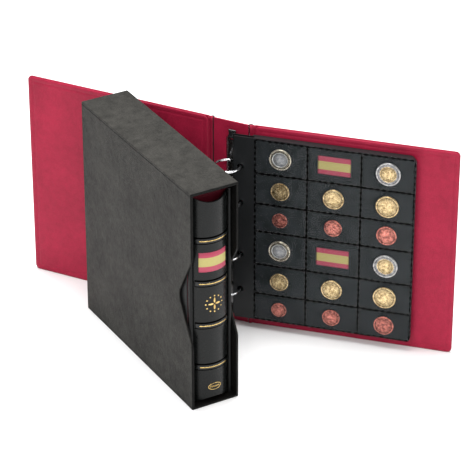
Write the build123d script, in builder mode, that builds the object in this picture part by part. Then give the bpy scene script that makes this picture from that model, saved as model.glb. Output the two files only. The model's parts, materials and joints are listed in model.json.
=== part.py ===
from build123d import *
import os
from math import asin, cos, degrees, radians, sin, sqrt

os.makedirs("parts", exist_ok=True)

# Coin album: a slipcase with one album pushed into it, and the same album standing open beside it.
# Millimetres, +Z up, origin at the middle of the slipcase's underside, its open side facing -Y.

# ---- slipcase ----
head_room = 6.8           # from the cased album up to the top board
mouth_reach = 10          # from the spine's hinges out to the open side
case_width = 54
case_board = 2.5          # wrapped greyboard
case_edge_round = 0.8
notch_half_height = 50    # thumb notch in both side panels
notch_reach = 28          # depth of the notch before its point is rounded
notch_point_radius = 18
notch_mouth_radius = 10

# ---- album covers ----
album_height = 238
cover_width = 220         # hinge axis to fore-edge
cover_board = 2.6         # board with its outer skin
cover_lining = 1.2        # padded lining on the reading side
lining_lip = 2.0          # border of outer skin left around the lining
cover_corner = 5
cover_edge_round = 1.1
hinge_groove = 5          # flexible strip between hinge axis and board
hinge_web = 1.6
side_play = 0.5           # cased album to each side panel
back_play = 0.5           # cased album to the back board
lift_play = 0.2           # cased album to the base board
running_gap = 0.3         # between pieces that turn past each other

# ---- spine ----
spine_bulge = 9.5
spine_shell = 2.2
spine_plate = 1.4         # flat lined plate that carries the rings
head_dip = 6              # hollow curve at head and tail
rib_count = 4
first_rib_height = 42.5
last_rib_drop = 48.5      # from the album's top to the last rib
rib_tall = 8
rib_proud = 0.9
gold_line = 1.1
foil = 0.2
label_tall = 22
emblem_radius = 10.5
emblem_line = 0.8
emblem_beads = 16
bead_radius = 0.7
tail_mark_height = 18
tail_mark_wide = 15
tail_mark_tall = 8

# ---- ring mechanism ----
ring_cover_play = 1.45    # closed cover to the rings
ring_wire = 1.25          # wire radius
ring_offset = 3.5         # mechanism off the spine's middle, towards the back cover
ring_spacing = (42.5, 62, 42.5)    # shares of the height that the rings span
ring_end_margin = 24.5    # from the outer rings to the ends of the plate
ring_lift = 2             # rings' middle above the album's
ring_tip_gap = 0.4
plate_half_width = 9
plate_rise = 4.6
plate_sheet = 1.0
plate_margin = 21         # from the ends of the plate to those of the album
slot_play = 0.8
blade_inset = 0.3
blade_half_width = 6.6
blade_lift = 0.3
blade_sheet = 0.8
blade_end_gap = 4
foot_reach = 3.2          # sideways place of each ring's foot
foot_length = 2.8
rivet_radius = 1.5
rivet_head_radius = 3.2
rivet_head = 1.2
rivet_play = 0.1
rivet_clear = 1.2         # cut in the blades around a rivet
ear_sheet = 1.0
ear_reach = 4.6
ear_tall = 4.2
lever_width = 8
lever_boss = 1.6
lever_pin = 0.8
lever_arm = 10
lever_tab = 1.7
lever_tilt = 16

# ---- leaves and coins ----
leaf_width_margin = 28    # how much narrower than a cover
leaf_height_margin = 21   # how much lower than the album
leaf_corner = 5
leaf_film = 0.6
strip_width = 21          # punched strip beside the pockets
hole_inset = 6.5
hole_radius = 3.5
leaf_drop = 1.0           # holes hang this much below the wires
row_shares = (40, 35.6, 32.9)      # of half the leaf's height
column_count = 3
weld_half = 0.7
pocket_depth = 3.0
pocket_front = 0.3
filled_depth = 3.0        # thickness of a filled leaf's pockets
first_leaf_gap = 0.6
leaf_gap = 0.3
card_play = 1.0
card_sheet = 0.3
insert_width = 35
insert_tall = 21
insert_sheet = 0.4
coin_rim = 1.1
coin_recess = 0.15
core_play = 0.02

# ---- where the two albums stand ----
open_spine_right = 71.5   # from the slipcase's back right corner to the middle of the spine
open_spine_front = 95.1
open_spine_turn = 124     # from the back hinge to the front hinge
open_back_sweep = 10      # back cover laid this far past flat

# ---- values worked out from those above ----
case_height = album_height + 2 * case_board + lift_play + head_room
case_depth = cover_width + case_board + back_play + mouth_reach
cover_thick = cover_board + cover_lining
hinge_radius = cover_thick / 2
album_thick = case_width - 2 * case_board - 2 * side_play
hinge_spacing = album_thick - cover_thick
spine_half = hinge_spacing / 2 - hinge_radius - running_gap
spine_seat = hinge_radius - spine_plate
ring_radius = spine_half + running_gap - ring_offset - ring_wire - ring_cover_play
spine_radius = (spine_half**2 + spine_bulge**2) / (2 * spine_bulge)
spine_centre = spine_seat - spine_bulge + spine_radius
plate_top = hinge_radius + plate_rise
blade_base = hinge_radius + blade_lift
foot_top = blade_base + foot_length
ring_centre = foot_top + sqrt(ring_radius**2 - foot_reach**2)
plate_length = album_height - 2 * plate_margin
ring_middle_height = album_height / 2 + ring_lift
ring_span = plate_length - 2 * ring_end_margin
ring_gaps = [ring_span * share / sum(ring_spacing) for share in ring_spacing]
ring_heights = [ring_middle_height - sum(ring_gaps) / 2 + sum(ring_gaps[:i]) for i in range(4)]
rivet_heights = [(ring_heights[0] + ring_heights[1]) / 2, (ring_heights[2] + ring_heights[3]) / 2]
rib_pitch = (album_height - first_rib_height - last_rib_drop) / (rib_count - 1)
rib_heights = [first_rib_height + i * rib_pitch for i in range(rib_count)]
label_height = (rib_heights[-1] + rib_heights[-2]) / 2
emblem_height = (rib_heights[1] + rib_heights[2]) / 2
leaf_width = cover_width - leaf_width_margin
leaf_height = album_height - leaf_height_margin
column_width = (leaf_width - strip_width) / column_count
rows = 2 * [leaf_height / 2 * share / sum(row_shares) for share in row_shares]
leaf_middle_height = ring_middle_height - leaf_drop
cased_hinge_y = case_depth / 2 - case_board - back_play - cover_width

cased_frame = Plane(origin=(0, cased_hinge_y, case_board + lift_play), x_dir=(1, 0, 0), z_dir=(0, 0, 1))
open_frame = Plane(
    origin=(case_width / 2 + open_spine_right, case_depth / 2 - open_spine_front, 0),
    x_dir=(cos(radians(open_spine_turn)), sin(radians(open_spine_turn)), 0),
    z_dir=(0, 0, 1),
)


def save(builder, name):
    """Label a finished piece and write it as its own file."""
    builder.part.label = name
    export_step(builder.part, f"parts/{name}.step")


def heading(frame, x, y):
    """The direction x, y of an album's own frame, in the part's frame."""
    return frame.from_local_coords(Vector(x, y, 0)) - frame.origin


def cover_plane(frame, side, lift):
    """Mid-height plane of a cover: x from hinge to fore-edge, normal to the reading side.
    side is 1 for the front cover and -1 for the back; lift is 90 closed and 0 in line with the spine."""
    run = heading(frame, side * cos(radians(lift)), sin(radians(lift)))
    facing = heading(frame, -side * sin(radians(lift)), cos(radians(lift)))
    hinge = frame.from_local_coords(Vector(side * hinge_spacing / 2, 0, album_height / 2))
    return Plane(origin=hinge, x_dir=run, z_dir=facing)


def leaf_plane(frame, lift, depth):
    """Plane of a leaf at its bound edge, depth below the ring centre, lying as the back cover does."""
    run = heading(frame, -cos(radians(lift)), sin(radians(lift)))
    facing = heading(frame, sin(radians(lift)), cos(radians(lift)))
    centre = frame.from_local_coords(Vector(-ring_offset, ring_centre, leaf_middle_height))
    reach = sqrt(ring_radius**2 - (depth - leaf_film / 2) ** 2) - hole_inset
    return Plane(origin=centre + run * reach - facing * depth, x_dir=run, z_dir=facing)


def front_view(frame, height):
    """Upright plane across the spine at a height, seen from outside."""
    return Plane(
        origin=frame.from_local_coords(Vector(0, 0, height)),
        x_dir=frame.x_dir,
        z_dir=-frame.y_dir,
    )


# ---------------- slipcase ----------------
side_height = case_height - 2 * case_board
mid_height = case_height / 2
inner_width = case_width - 2 * case_board

for name, side in (("slipcase_left_panel", -1), ("slipcase_right_panel", 1)):
    with BuildPart() as panel:
        with BuildSketch(Plane.YZ.offset(side * (case_width - case_board) / 2 - case_board / 2)):
            with BuildLine():
                front = -case_depth / 2
                Polyline(
                    (front, case_board),
                    (-front, case_board),
                    (-front, case_board + side_height),
                    (front, case_board + side_height),
                    (front, mid_height + notch_half_height),
                    (front + notch_reach, mid_height),
                    (front, mid_height - notch_half_height),
                    close=True,
                )
            make_face()
        extrude(amount=case_board)
        notch_edges = panel.edges().filter_by(Axis.X).filter_by_position(
            Axis.Z, mid_height - notch_half_height - 1, mid_height + notch_half_height + 1
        )
        fillet(notch_edges.group_by(Axis.Y)[-1], notch_point_radius)
        mouth_edges = panel.edges().filter_by(Axis.X).filter_by_position(
            Axis.Z, mid_height - notch_half_height - 1, mid_height + notch_half_height + 1
        )
        fillet(mouth_edges.group_by(Axis.Y)[0], notch_mouth_radius)
        fillet(panel.faces().sort_by(Axis.X)[-1 if side > 0 else 0]
               .edges(), case_edge_round)
    save(panel, name)

for name, height in (("slipcase_base_board", 0), ("slipcase_top_board", case_height - case_board)):
    with BuildPart() as board:
        with BuildSketch(Plane.XY.offset(height)):
            Rectangle(case_width, case_depth)
        extrude(amount=case_board)
        fillet(board.edges().filter_by(Axis.Z), case_edge_round)
        outer = board.faces().sort_by(Axis.Z)[0 if height == 0 else -1]
        fillet(outer.edges(), case_edge_round)
    save(board, name)

with BuildPart() as back_board:
    with BuildSketch(Plane.XZ.offset(-case_depth / 2)):
        with Locations((0, mid_height)):
            Rectangle(inner_width, side_height)
    extrude(amount=case_board)
save(back_board, "slipcase_back_board")


# ---------------- one album ----------------
def make_cover(prefix, frame, side, lift):
    """Board, lining and flexible hinge strip of one cover."""
    plane = cover_plane(frame, side, lift)
    board_width = cover_width - hinge_groove
    with BuildPart() as board:
        with BuildSketch(plane.offset(-cover_thick / 2)) as outline:
            with Locations((hinge_groove, 0)):
                Rectangle(board_width, album_height, align=(Align.MIN, Align.CENTER))
            fillet(outline.vertices().group_by(Axis.X)[-1], cover_corner)
        extrude(amount=cover_board)
        outer = board.faces().sort_by(Axis(plane.origin, plane.z_dir))[0]
        fillet(outer.edges(), cover_edge_round)
    save(board, f"{prefix}_board")

    with BuildPart() as lining:
        with BuildSketch(plane.offset(cover_board - cover_thick / 2)) as outline:
            with Locations((hinge_groove, 0)):
                Rectangle(board_width - lining_lip, album_height - 2 * lining_lip,
                          align=(Align.MIN, Align.CENTER))
            fillet(outline.vertices().group_by(Axis.X)[-1], cover_corner - lining_lip / 2)
        extrude(amount=cover_lining)
    save(lining, f"{prefix}_lining")

    foot = Plane(origin=plane.origin - Vector(0, 0, album_height / 2), x_dir=plane.x_dir, z_dir=(0, 0, 1))
    with BuildPart() as strip:
        with BuildSketch(foot):
            Circle(hinge_radius)
            Rectangle(hinge_groove, hinge_web, align=(Align.MIN, Align.CENTER))
        extrude(amount=album_height)
    save(strip, f"{prefix}_hinge")


def spine_crescent(plane, start, thick, half_width):
    """Profile that follows the spine's outer curve, from start to start + thick beyond it."""
    with BuildSketch(plane) as profile:
        with Locations((0, spine_centre)):
            Circle(spine_radius + start + thick)
            Circle(spine_radius + start, mode=Mode.SUBTRACT)
        with Locations((0, spine_seat)):
            Rectangle(2 * half_width, 2 * spine_bulge + 2 * rib_proud,
                      align=(Align.CENTER, Align.MAX), mode=Mode.INTERSECT)
    return profile.sketch


def make_spine(prefix, frame):
    """Curved outer spine with its ribs, gilding and label, and the flat plate behind it."""
    trim_half = spine_half - 1.5
    with BuildPart() as shell:
        extrude(spine_crescent(frame, -spine_shell, spine_shell, spine_half), amount=album_height)
        for end, dip in ((0, head_dip), (album_height, -head_dip)):
            with BuildSketch(front_view(frame, end)):
                with BuildLine():
                    ThreePointArc((-spine_half, 0), (0, dip), (spine_half, 0))
                    Polyline((spine_half, 0), (spine_half, -dip), (-spine_half, -dip), (-spine_half, 0))
                make_face()
            extrude(amount=2 * spine_bulge, both=True, mode=Mode.SUBTRACT)
    save(shell, f"{prefix}_spine_shell")

    with BuildPart() as plate:
        with BuildSketch(frame):
            with Locations((0, spine_seat)):
                Rectangle(2 * spine_half, spine_plate, align=(Align.CENTER, Align.MIN))
        extrude(amount=album_height)
        for height in rivet_heights:
            with BuildSketch(front_view(frame, height)):
                with Locations((-ring_offset, 0)):
                    Circle(rivet_radius + rivet_play)
            extrude(amount=2 * hinge_radius, both=True, mode=Mode.SUBTRACT)
    save(plate, f"{prefix}_spine_lining")

    with BuildPart() as ribs:
        for height in rib_heights:
            band = spine_crescent(frame.offset(height - rib_tall / 2), 0, rib_proud, trim_half)
            extrude(band, amount=rib_tall)
    save(ribs, f"{prefix}_spine_ribs")

    with BuildPart() as label:
        band = spine_crescent(frame.offset(label_height - label_tall / 2), 0, foil, trim_half)
        extrude(band, amount=label_tall)
    save(label, f"{prefix}_spine_label")

    with BuildPart() as gilding:
        for height in rib_heights:
            band = spine_crescent(frame.offset(height - gold_line / 2), rib_proud, foil, trim_half)
            extrude(band, amount=gold_line)
    save(gilding, f"{prefix}_spine_gold_lines")

    with BuildPart() as ornament:
        extrude(spine_crescent(frame, 0, foil, trim_half), amount=album_height)
        with BuildSketch(front_view(frame, emblem_height)):
            Circle(emblem_radius)
            Circle(emblem_radius - emblem_line, mode=Mode.SUBTRACT)
            with PolarLocations(emblem_radius - 3 * emblem_line, emblem_beads):
                Circle(bead_radius)
            with PolarLocations(emblem_radius / 4, 4):
                Ellipse(emblem_radius / 4, emblem_radius / 8)
            with Locations((0, tail_mark_height - emblem_height)):
                Ellipse(tail_mark_wide / 2, tail_mark_tall / 2)
                Ellipse(tail_mark_wide / 2 - emblem_line, tail_mark_tall / 2 - emblem_line,
                        mode=Mode.SUBTRACT)
        extrude(amount=2 * spine_bulge, both=True, mode=Mode.INTERSECT)
    save(ornament, f"{prefix}_spine_ornament")


def make_ring_plate(prefix, frame):
    """Arched base plate with slots for the rings, and the two rivets that hold it."""
    axis_plane = Plane(origin=frame.from_local_coords(Vector(-ring_offset, 0, 0)),
                       x_dir=frame.x_dir, z_dir=(0, 0, 1))
    bottom = ring_middle_height - plate_length / 2
    with BuildPart() as plate:
        with BuildSketch(axis_plane.offset(bottom)):
            for inset, mode in ((0, Mode.ADD), (plate_sheet, Mode.SUBTRACT)):
                with BuildLine():
                    half = plate_half_width - inset
                    ThreePointArc((-half, hinge_radius), (0, plate_top - inset), (half, hinge_radius))
                    Line((half, hinge_radius), (-half, hinge_radius))
                make_face(mode=mode)
        extrude(amount=plate_length)
        for end in (bottom - ear_reach, bottom + plate_length - ear_sheet):
            with BuildSketch(axis_plane.offset(end)):
                for side in (-1, 1):
                    with Locations((side * (lever_width / 2 + running_gap + ear_sheet / 2), hinge_radius)):
                        Rectangle(ear_sheet, ear_tall, align=(Align.CENTER, Align.MIN))
            extrude(amount=ear_reach + ear_sheet)
        for height in ring_heights:
            slot = ring_wire + slot_play
            with BuildSketch(axis_plane.offset(height - slot)):
                with Locations((0, blade_base + blade_sheet)):
                    Rectangle(2 * blade_half_width, plate_rise, align=(Align.CENTER, Align.MIN))
            extrude(amount=2 * slot, mode=Mode.SUBTRACT)
        for height in rivet_heights:
            with BuildSketch(front_view(axis_plane, height)):
                Circle(rivet_radius + rivet_play)
            extrude(amount=2 * plate_top, both=True, mode=Mode.SUBTRACT)
        for height in lever_heights():
            pivot = axis_plane.from_local_coords(Vector(0, lever_pivot_y, height))
            with BuildSketch(Plane(origin=pivot, x_dir=(0, 0, 1), z_dir=frame.x_dir)):
                Circle(lever_pin + rivet_play)
            extrude(amount=lever_width, both=True, mode=Mode.SUBTRACT)
    save(plate, f"{prefix}_ring_plate")

    with BuildPart() as rivets:
        for height in rivet_heights:
            view = front_view(axis_plane, height)
            with BuildSketch(view.offset(-plate_top)):
                Circle(rivet_radius)
            extrude(amount=plate_top - spine_seat)
            with BuildSketch(view.offset(-plate_top - rivet_head)):
                Circle(rivet_head_radius)
            extrude(amount=rivet_head)
            with BuildSketch(view.offset(-spine_seat)):
                Circle(rivet_head_radius)
            extrude(amount=rivet_head)
    save(rivets, f"{prefix}_rivets")


lever_pivot_y = hinge_radius + ear_tall / 2


def lever_heights():
    """Heights of the pivots of the lower and the upper lever."""
    reach = plate_length / 2 + ear_reach / 2
    return (ring_middle_height - reach, ring_middle_height + reach)


def make_rings(prefix, frame, side):
    """One half of the rings: a blade under the base plate with four half hoops standing on it."""
    axis_plane = Plane(origin=frame.from_local_coords(Vector(-ring_offset, 0, 0)),
                       x_dir=frame.x_dir, z_dir=(0, 0, 1))
    blade_width = blade_half_width - blade_inset
    blade_length = plate_length - 2 * blade_end_gap
    start_angle = degrees(asin(foot_reach / ring_radius))
    end_angle = degrees(asin(ring_tip_gap / 2 / ring_radius))
    with BuildPart() as rings:
        with BuildSketch(axis_plane.offset(ring_middle_height - blade_length / 2)):
            with Locations((side * (blade_inset + blade_width / 2), blade_base)):
                Rectangle(blade_width, blade_sheet, align=(Align.CENTER, Align.MIN))
        extrude(amount=blade_length)
        for height in rivet_heights:
            with BuildSketch(front_view(axis_plane, height)):
                Circle(rivet_radius + rivet_clear)
            extrude(amount=2 * plate_top, both=True, mode=Mode.SUBTRACT)
        for height in ring_heights:
            with BuildSketch(front_view(axis_plane, height).offset(-blade_base)):
                with Locations((side * foot_reach, 0)):
                    Circle(ring_wire)
            extrude(amount=-foot_length)
            start = axis_plane.from_local_coords(Vector(side * foot_reach, foot_top, height))
            with Locations(start):
                Sphere(ring_wire)
            tangent = heading(frame, side * cos(radians(start_angle)), sin(radians(start_angle)))
            with BuildSketch(Plane(origin=start, x_dir=(0, 0, 1), z_dir=-tangent)):
                Circle(ring_wire)
            middle = axis_plane.from_local_coords(Vector(0, ring_centre, height))
            revolve(axis=Axis(middle, (0, 0, side)), revolution_arc=180 - start_angle - end_angle)
    save(rings, f"{prefix}_rings_{'front' if side > 0 else 'back'}")


def make_lever(prefix, frame, name, height, up):
    """Thumb lever at one end of the base plate, on a pin between the plate's two ears."""
    pivot = frame.from_local_coords(Vector(-ring_offset, lever_pivot_y, height))
    plane = Plane(origin=pivot, x_dir=frame.y_dir, z_dir=frame.x_dir)
    rise = Vector(0, 0, up * cos(radians(lever_tilt))) + frame.y_dir * sin(radians(lever_tilt))
    arm = Plane(origin=pivot, x_dir=rise, z_dir=frame.x_dir)
    with BuildPart() as lever:
        with BuildSketch(arm):
            Circle(lever_boss)
            Rectangle(lever_arm, lever_tab, align=(Align.MIN, Align.CENTER))
        extrude(amount=lever_width / 2, both=True)
        tip = lever.faces().sort_by(Axis(pivot, rise))[-1]
        fillet(tip.edges(), lever_tab / 3)
        with BuildSketch(plane):
            Circle(lever_pin)
        extrude(amount=lever_width / 2 + running_gap + ear_sheet, both=True)
    save(lever, f"{prefix}_lever_{name}")


def make_album(prefix, frame, front_lift, back_lift):
    """Every piece of one album but its leaves."""
    make_cover(f"{prefix}_front", frame, 1, front_lift)
    make_cover(f"{prefix}_back", frame, -1, back_lift)
    make_spine(prefix, frame)
    make_ring_plate(prefix, frame)
    make_rings(prefix, frame, 1)
    make_rings(prefix, frame, -1)
    lower, upper = lever_heights()
    make_lever(prefix, frame, "lower", lower, -1)
    make_lever(prefix, frame, "upper", upper, 1)


make_album("cased", cased_frame, 90, 90)
make_album("open", open_frame, 0, -open_back_sweep)


# ---------------- leaves ----------------
def lining_distance(lift):
    """From the ring centre to the back cover's lining, square to it."""
    across = (hinge_spacing / 2 - ring_offset) * sin(radians(lift))
    return across + ring_centre * cos(radians(lift)) - cover_thick / 2


# each leaf's depth below the ring centre, measured to the underside of its film
lower_depth = lining_distance(-open_back_sweep) - first_leaf_gap - filled_depth
second_depth = lower_depth - leaf_film - leaf_gap - filled_depth
top_depth = second_depth - leaf_film - leaf_gap


def punched_film(plane):
    """The film of a leaf with its rounded corners and four ring holes."""
    with BuildSketch(plane) as film:
        Rectangle(leaf_width, leaf_height, align=(Align.MIN, Align.CENTER))
        fillet(film.vertices().group_by(Axis.X)[-1], leaf_corner)
        with Locations(*[(hole_inset, height - ring_middle_height) for height in ring_heights]):
            Circle(hole_radius, mode=Mode.SUBTRACT)
    return film.sketch


def pocket_area(plane):
    """The part of a leaf beside its punched strip, which holds the pockets."""
    with BuildSketch(plane) as block:
        with Locations((strip_width, 0)):
            Rectangle(leaf_width - strip_width, leaf_height, align=(Align.MIN, Align.CENTER))
        fillet(block.vertices().group_by(Axis.X)[-1], leaf_corner)
    return block.sketch


def cells():
    """Centre and size of every pocket: column and row numbers, x, y, height."""
    top = leaf_height / 2
    for row, tall in enumerate(rows):
        middle = top - sum(rows[:row]) - tall / 2
        for column in range(column_count):
            yield column, row, strip_width + (column + 0.5) * column_width, middle, tall


with BuildPart() as cased_leaves:
    for depth in (lower_depth, second_depth):
        leaf = leaf_plane(cased_frame, 90, depth)
        extrude(punched_film(leaf), amount=leaf_film)
        extrude(pocket_area(leaf), amount=-filled_depth)
save(cased_leaves, "cased_leaves")

for name, depth in (("leaf_lower", lower_depth), ("leaf_second", second_depth)):
    with BuildPart() as filled_leaf:
        leaf = leaf_plane(open_frame, -open_back_sweep, depth)
        extrude(punched_film(leaf), amount=leaf_film)
        extrude(pocket_area(leaf), amount=-filled_depth)
    save(filled_leaf, name)

top_plane = leaf_plane(open_frame, -open_back_sweep, top_depth)
film_top = top_plane.offset(leaf_film)
with BuildPart() as top_film:
    extrude(punched_film(top_plane), amount=leaf_film)
save(top_film, "leaf_top_film")

with BuildPart() as pockets:
    extrude(pocket_area(film_top), amount=pocket_depth + pocket_front)
    with BuildSketch(film_top):
        for column, row, x, y, tall in cells():
            with Locations((x, y)):
                RectangleRounded(column_width - 2 * weld_half, tall - 2 * weld_half, leaf_corner - weld_half)
    extrude(amount=pocket_depth, mode=Mode.SUBTRACT)
save(pockets, "leaf_top_pockets")

with BuildPart() as cards:
    with BuildSketch(film_top):
        for column, row, x, y, tall in cells():
            shrink = 2 * (weld_half + card_play)
            with Locations((x, y)):
                RectangleRounded(column_width - shrink, tall - shrink, leaf_corner - weld_half - card_play)
    extrude(amount=card_sheet)
save(cards, "leaf_top_cards")

coin_base = film_top.offset(card_sheet)


def spots(column, row):
    """Where a kind of coin lies: its column, in its row of each half of the leaf."""
    return [(x, y) for c, r, x, y, tall in cells() if c == column and r % 3 == row]


with BuildPart() as inserts:
    with BuildSketch(coin_base):
        with Locations(*spots(1, 0)):
            Rectangle(insert_width, insert_tall)
    extrude(amount=insert_sheet)
save(inserts, "striped_inserts")


def make_coins(name, column, row, diameter, thick, inner=0):
    """Two coins with raised rims, or their outer rings when inner is set."""
    with BuildPart() as coins:
        with BuildSketch(coin_base):
            with Locations(*spots(column, row)):
                Circle(diameter / 2)
                if inner:
                    Circle(inner / 2, mode=Mode.SUBTRACT)
        extrude(amount=thick)
        for level in (0, thick - coin_recess):
            with BuildSketch(coin_base.offset(level)):
                with Locations(*spots(column, row)):
                    Circle(diameter / 2 - coin_rim)
            extrude(amount=coin_recess, mode=Mode.SUBTRACT)
    save(coins, name)


def make_cores(name, column, row, diameter, thick):
    """The centres of the two-metal coins."""
    with BuildPart() as cores:
        with BuildSketch(coin_base.offset(coin_recess)):
            with Locations(*spots(column, row)):
                Circle(diameter / 2 - core_play)
        extrude(amount=thick - 2 * coin_recess)
    save(cores, name)


make_coins("coins_silver_core_ring", 0, 0, 23.25, 2.33, inner=16.5)
make_cores("coins_silver_core", 0, 0, 16.5, 2.33)
make_coins("coins_gold_core_ring", 2, 0, 25.75, 2.2, inner=18)
make_cores("coins_gold_core", 2, 0, 18, 2.2)
make_coins("coins_gold_small", 0, 1, 19.75, 1.93)
make_coins("coins_gold_middle", 1, 1, 22.25, 2.14)
make_coins("coins_gold_large", 2, 1, 24.25, 2.38)
make_coins("coins_copper_small", 0, 2, 16.25, 1.67)
make_coins("coins_copper_middle", 1, 2, 18.75, 1.67)
make_coins("coins_copper_large", 2, 2, 21.25, 1.67)
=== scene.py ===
import json
import math

import bmesh
import bpy
import numpy as np
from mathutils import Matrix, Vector


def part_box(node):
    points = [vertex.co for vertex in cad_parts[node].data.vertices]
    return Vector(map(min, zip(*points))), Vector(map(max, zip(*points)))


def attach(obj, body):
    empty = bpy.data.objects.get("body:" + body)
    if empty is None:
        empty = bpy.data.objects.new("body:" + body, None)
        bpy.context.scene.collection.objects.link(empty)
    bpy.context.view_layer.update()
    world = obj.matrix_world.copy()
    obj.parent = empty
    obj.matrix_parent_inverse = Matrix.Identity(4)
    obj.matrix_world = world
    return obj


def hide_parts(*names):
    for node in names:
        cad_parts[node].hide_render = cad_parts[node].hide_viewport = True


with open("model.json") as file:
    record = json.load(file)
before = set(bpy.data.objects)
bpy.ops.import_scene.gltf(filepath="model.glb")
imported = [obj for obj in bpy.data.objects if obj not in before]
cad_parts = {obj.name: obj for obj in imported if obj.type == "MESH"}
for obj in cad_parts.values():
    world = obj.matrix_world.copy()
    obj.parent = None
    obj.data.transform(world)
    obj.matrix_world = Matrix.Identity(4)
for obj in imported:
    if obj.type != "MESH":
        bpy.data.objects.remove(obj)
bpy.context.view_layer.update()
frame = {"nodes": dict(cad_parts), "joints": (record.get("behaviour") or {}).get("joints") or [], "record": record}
joints = {joint["name"]: joint for joint in frame["joints"]}
up = np.array([0.0, 0.0, 1.0])


# axes of one album: origin between its two hinges on the ground, x to the front cover, y to the reading side
def albumAxes(frontHinge, backHinge):
    front, back = np.array(frontHinge, float), np.array(backHinge, float)
    across = front - back
    across[2] = 0
    across /= np.linalg.norm(across)
    origin = (front + back) / 2
    origin[2] = 0
    return origin, across, np.cross(up, across)


def points(node):
    mesh = frame["nodes"][node].data
    flat = np.empty(len(mesh.vertices) * 3)
    mesh.vertices.foreach_get("co", flat)
    return flat.reshape(-1, 3)


# lowest and highest value of a node along a direction, measured from an origin
def extent(node, origin, direction):
    along = (points(node) - origin) @ direction
    return along.min(), along.max()


def hingeOf(node):  # the round bead of a cased hinge is as thick as the strip's box is wide
    low, high = (np.array(corner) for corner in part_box(node))
    return [(low[0] + high[0]) / 2, low[1] + (high[0] - low[0]) / 2, 0]


openAlbum = albumAxes(joints["front_cover_hinge"]["pos_m"], joints["back_cover_hinge"]["pos_m"])
casedAlbum = albumAxes(hingeOf("cased_front_hinge"), hingeOf("cased_back_hinge"))
print("frame loaded")


# merges points that meet and drops faces without area
def weldPoints(edit):
    bmesh.ops.remove_doubles(edit, verts=edit.verts, dist=1e-6)
    bmesh.ops.dissolve_degenerate(edit, edges=edit.edges, dist=1e-7)


def turnOut(edit):
    bmesh.ops.recalc_face_normals(edit, faces=edit.faces)


def capRims(edit):
    bmesh.ops.holes_fill(edit, edges=[edge for edge in edit.edges if edge.is_boundary], sides=0)


def editMesh(mesh, *steps):
    edit = bmesh.new()
    edit.from_mesh(mesh)
    for step in steps:
        step(edit)
    edit.to_mesh(mesh)
    edit.free()


def linkPiece(name, mesh):
    piece = bpy.data.objects.new(name, mesh)
    bpy.context.scene.collection.objects.link(piece)
    return piece


def smoothAll(mesh, smooth=True):
    mesh.polygons.foreach_set("use_smooth", [smooth] * len(mesh.polygons))


# point numbers round every square of a grid
def quadCorners(index, flip):
    corners = [index[:-1, :-1], index[:-1, 1:], index[1:, 1:], index[1:, :-1]]
    if flip:
        corners.reverse()
    return np.stack(corners, axis=-1).reshape(-1, 4)


# a grid of points (rows, columns, 3) becomes quads; wrap joins the last column to the first
def gridMesh(name, grid, wrap=False, flip=False, uv=None, merge=True):
    rows, columns = grid.shape[:2]
    index = np.arange(rows * columns).reshape(rows, columns)
    if wrap:
        index = np.concatenate([index, index[:, :1]], axis=1)
    faces = quadCorners(index, flip)
    mesh = bpy.data.meshes.new(name)
    mesh.from_pydata(grid.reshape(-1, 3).tolist(), [], faces.tolist())
    if uv is not None:
        order = faces
        if wrap:
            uv = np.concatenate([uv, uv[:, :1] + np.array([1.0, 0.0])], axis=1)
            order = quadCorners(np.arange(uv.shape[0] * uv.shape[1]).reshape(uv.shape[:2]), flip)
        layer = mesh.uv_layers.new(name="UVMap")
        layer.data.foreach_set("uv", uv.reshape(-1, 2)[order.reshape(-1)].reshape(-1))
    if merge:
        editMesh(mesh, weldPoints)
    smoothAll(mesh)
    return linkPiece(name, mesh)


# several meshes in one object
def joinMeshes(name, pieces):
    edit = bmesh.new()
    for piece in pieces:
        edit.from_mesh(piece.data)
        bpy.data.objects.remove(piece)
    mesh = bpy.data.meshes.new(name)
    edit.to_mesh(mesh)
    edit.free()
    return linkPiece(name, mesh)


# positions from low to high, close together over an edge band at each end
def edgeSpaced(low, high, band, fine, coarse):
    ramp = band * (1 - np.cos(np.linspace(0, math.pi / 2, fine)))
    middle = np.linspace(low + band, high - band, coarse)[1:-1]
    return np.concatenate([low + ramp, middle, (high - ramp)[::-1]])


# square grid pulled in at its corners, so that its outline is a rounded rectangle;
# also the distance of every point from that outline
def roundedGrid(x, y, corner):
    gx, gy = np.meshgrid(x, y)
    midX, midY = (x[0] + x[-1]) / 2, (y[0] + y[-1]) / 2
    halfX, halfY = (x[-1] - x[0]) / 2, (y[-1] - y[0]) / 2
    inside = np.minimum(halfX - abs(gx - midX), halfY - abs(gy - midY))
    dx = np.maximum(abs(gx - midX) - (halfX - corner), 0)
    dy = np.maximum(abs(gy - midY) - (halfY - corner), 0)
    length = np.hypot(dx, dy)
    pull = np.where(length > 1e-9, np.maximum(dx, dy) / np.maximum(length, 1e-9), 1)
    gx = midX + np.sign(gx - midX) * (np.minimum(abs(gx - midX), halfX - corner) + dx * pull)
    gy = midY + np.sign(gy - midY) * (np.minimum(abs(gy - midY), halfY - corner) + dy * pull)
    return gx, gy, inside


# quarter-ellipse edge: rises from 0 at the outline to 1 a band further in
def roundEdge(inside, band):
    return np.sqrt(np.maximum(0, 1 - (1 - np.minimum(inside / band, 1)) ** 2))


def place(origin, axes, x, y, z):
    return origin + x[..., None] * axes[0] + y[..., None] * axes[1] + z[..., None] * axes[2]


# closed pad: a height over a rounded rectangle, and a flat back
def padMesh(name, origin, axes, x, y, corner, height):
    gx, gy, inside = roundedGrid(x, y, corner)
    top = height(gx, gy, inside)
    rise = place(origin, axes, gx, gy, top)
    flat = place(origin, axes, gx, gy, np.zeros_like(gx))
    uv = np.stack([(gx - x[0]) / (x[-1] - x[0]), (gy - y[0]) / (y[-1] - y[0])], axis=-1)
    front = gridMesh(name + "Front", rise, uv=uv, merge=False)
    back = gridMesh(name + "Back", flat, uv=uv, flip=True, merge=False)
    pad = joinMeshes(name, [front, back])
    closeSeams(pad)
    return pad


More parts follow.
